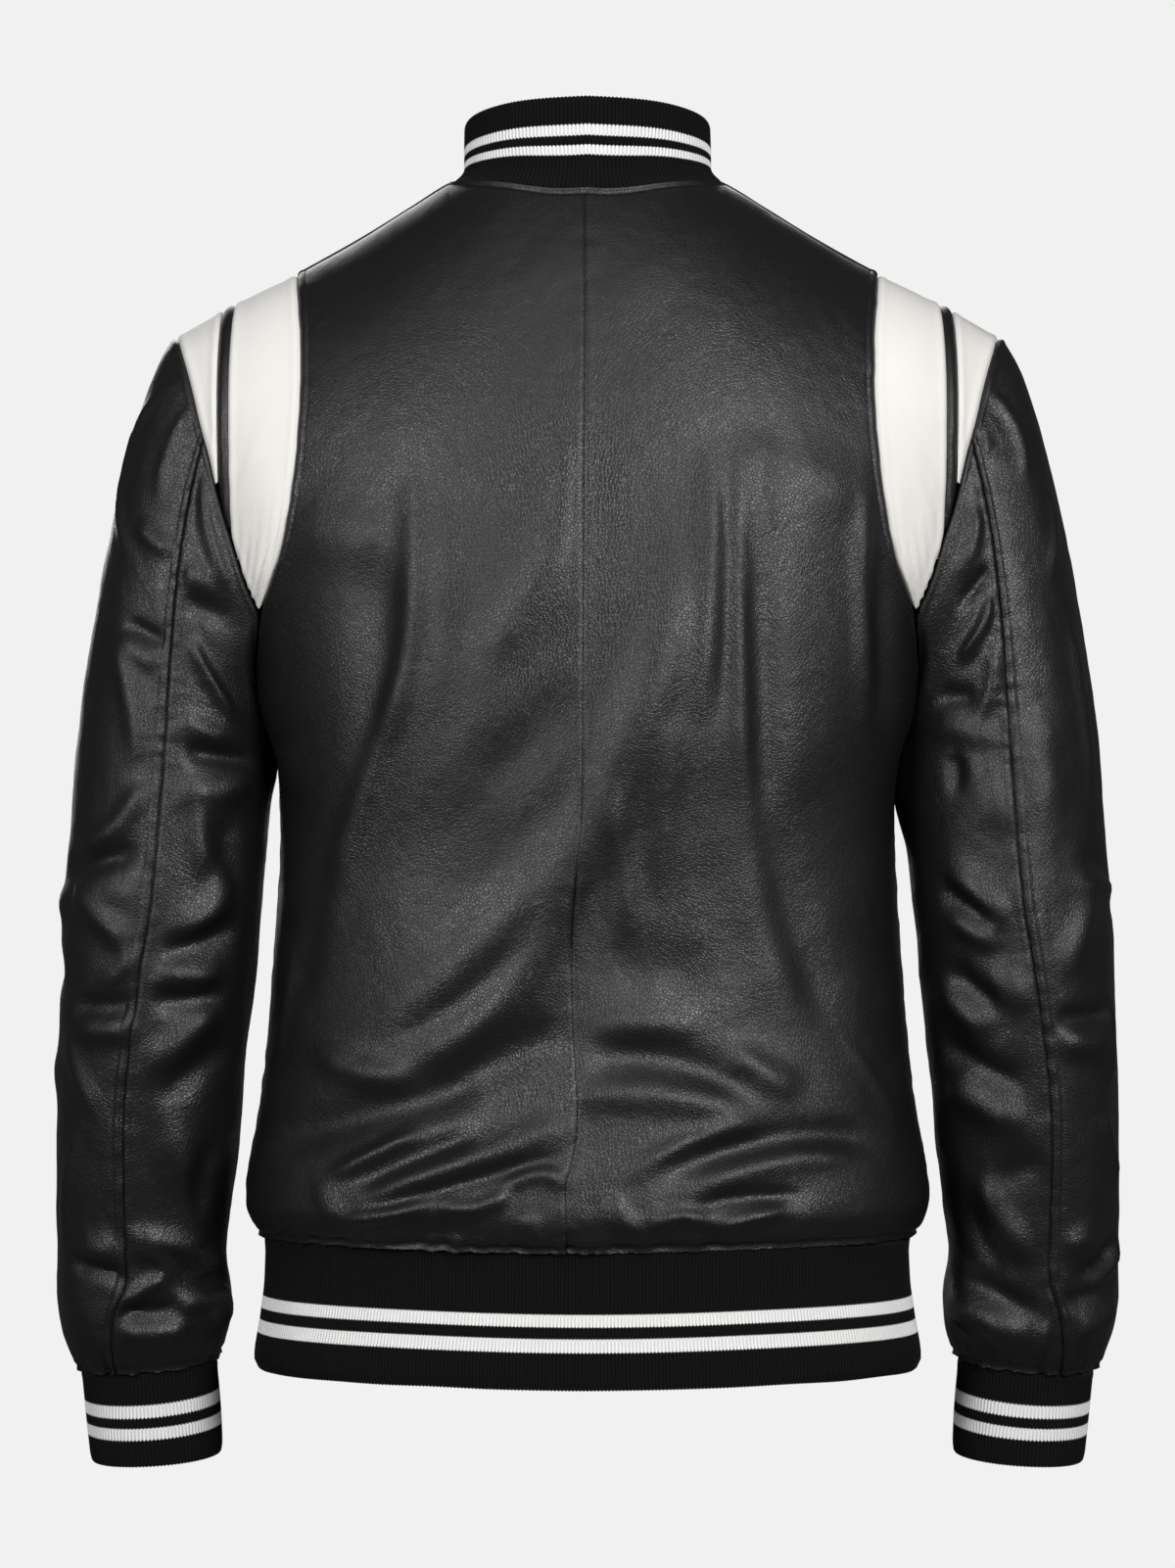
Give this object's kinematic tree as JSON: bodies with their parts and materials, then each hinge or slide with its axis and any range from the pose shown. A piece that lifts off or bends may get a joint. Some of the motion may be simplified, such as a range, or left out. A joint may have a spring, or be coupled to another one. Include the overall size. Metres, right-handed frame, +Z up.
{
  "type": "varsity jacket",
  "caption": "Hip-length bomber-cut leather jacket, filled out as worn, with pointed shoulder insets and a rib-knit collar, cuffs and hem.",
  "frame": {"origin": "middle of the neck's base, level with the neck ends of the shoulder seams, where the wearer's neck and shoulders hold the jacket", "axes": "+Z up, -Y to the jacket's front, +X to the wearer's left"},
  "size_m": [0.6116, 0.2712, 0.7797],
  "materials": {
    "black_leather": "satin",
    "white_leather": "matte",
    "rib_knit": "matte",
    "snap_metal": "gloss"
  },
  "bodies": {
    "root": {"back_left": "black_leather", "back_right": "black_leather", "front_left": "black_leather", "front_right": "black_leather", "placket": "black_leather", "inset_left": "white_leather", "inset_right": "white_leather", "inset_outer_left": "white_leather", "inset_outer_right": "white_leather", "stripe_left": "black_leather", "stripe_right": "black_leather", "sleeve_outer_left": "black_leather", "sleeve_outer_right": "black_leather", "sleeve_under_left": "black_leather", "sleeve_under_right": "black_leather", "cuff_left": "rib_knit", "cuff_right": "rib_knit", "hem": "rib_knit", "collar": "rib_knit", "snap_1": "snap_metal", "snap_2": "snap_metal", "snap_3": "snap_metal", "snap_4": "snap_metal", "snap_5": "snap_metal", "snap_6": "snap_metal", "snap_7": "snap_metal"}
  },
  "joints": []
}
